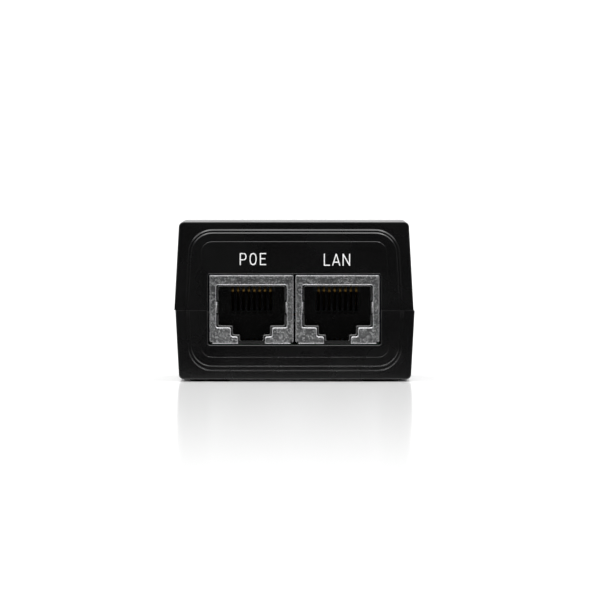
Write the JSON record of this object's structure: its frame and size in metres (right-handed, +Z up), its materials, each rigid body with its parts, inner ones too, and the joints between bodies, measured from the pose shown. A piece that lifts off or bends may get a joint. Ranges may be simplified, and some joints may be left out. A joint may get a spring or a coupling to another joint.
{
  "type": "poe injector",
  "caption": "Small flat black plastic box with two shielded network jacks side by side on one end and a three-pin mains inlet on the other, feeding power onto a network cable.",
  "frame": {"origin": "bottom centre of the bounding box, on the table under the rubber feet", "axes": "+X to the right as the jacks are seen, +Y from the jack face to the mains inlet, +Z up"},
  "size_m": [0.0452, 0.086, 0.0301],
  "materials": {
    "case_plastic": "fine spark texture, almost black",
    "screw_steel": "zinc plated",
    "foot_rubber": "matt",
    "jack_shield": "dull tin plate with a fine grain",
    "black_housing": "glass-filled, slightly glossy",
    "contact_gold": "gold plated",
    "inlet_pin": "nickel plated",
    "live_insulation": "satin",
    "neutral_insulation": "satin",
    "earth_insulation": "satin, yellow stripe",
    "board": "solder mask",
    "black_epoxy": "moulded",
    "blue_epoxy": "dipped lacquer",
    "yellow_case": "moulded",
    "ferrite": "matt sintered",
    "copper": "enamelled wire",
    "capacitor_sleeve": "shrunk sleeve",
    "winding_tape": "polyester tape",
    "heat_sink": "mill finish",
    "white_epoxy": "moulded",
    "clear_plastic": "clear, slightly frosted"
  },
  "bodies": {
    "injector": {"top_shell": "case_plastic", "bottom_shell": "case_plastic", "case_screw_1": "screw_steel", "case_screw_2": "screw_steel", "case_screw_3": "screw_steel", "case_screw_4": "screw_steel", "rubber_foot_1": "foot_rubber", "rubber_foot_2": "foot_rubber", "rubber_foot_3": "foot_rubber", "rubber_foot_4": "foot_rubber", "poe_jack_shield": "jack_shield", "poe_jack_housing": "black_housing", "poe_contact_carrier": "black_housing", "lan_jack_shield": "jack_shield", "lan_jack_housing": "black_housing", "lan_contact_carrier": "black_housing", "inlet_housing": "black_housing", "live_pin": "inlet_pin", "neutral_pin": "inlet_pin", "earth_pin": "inlet_pin", "live_wire": "live_insulation", "neutral_wire": "neutral_insulation", "earth_wire": "earth_insulation", "circuit_board": "board", "fuse": "black_epoxy", "surge_varistor": "blue_epoxy", "x_capacitor": "yellow_case", "mains_choke_core": "ferrite", "mains_choke_winding": "copper", "bridge_rectifier": "black_epoxy", "bulk_capacitor": "capacitor_sleeve", "transformer_core": "ferrite", "transformer_bobbin": "black_epoxy", "transformer_winding": "winding_tape", "switching_transistor": "black_epoxy", "transistor_heat_sink": "heat_sink", "optocoupler": "white_epoxy", "y_capacitor": "blue_epoxy", "output_diode": "black_epoxy", "output_capacitor_1": "capacitor_sleeve", "output_capacitor_2": "capacitor_sleeve", "controller_chip": "black_epoxy", "status_led": "clear_plastic", "light_pipe": "clear_plastic"},
    "poe_contacts": {"poe_contact_1": "contact_gold", "poe_contact_2": "contact_gold", "poe_contact_3": "contact_gold", "poe_contact_4": "contact_gold", "poe_contact_5": "contact_gold", "poe_contact_6": "contact_gold", "poe_contact_7": "contact_gold", "poe_contact_8": "contact_gold"},
    "lan_contacts": {"lan_contact_1": "contact_gold", "lan_contact_2": "contact_gold", "lan_contact_3": "contact_gold", "lan_contact_4": "contact_gold", "lan_contact_5": "contact_gold", "lan_contact_6": "contact_gold", "lan_contact_7": "contact_gold", "lan_contact_8": "contact_gold"}
  },
  "joints": [
    {"name": "poe_contact_flex", "type": "hinge", "parent": "injector", "child": "poe_contacts", "pos_m": [-0.0081, -0.0356, 0.0174], "axis": [1, 0, 0], "range_deg": [0, 12], "stiffness_Nm_per_rad": 0.23},
    {"name": "lan_contact_flex", "type": "hinge", "parent": "injector", "child": "lan_contacts", "pos_m": [0.0081, -0.0356, 0.0174], "axis": [1, 0, 0], "range_deg": [0, 12], "stiffness_Nm_per_rad": 0.23}
  ]
}
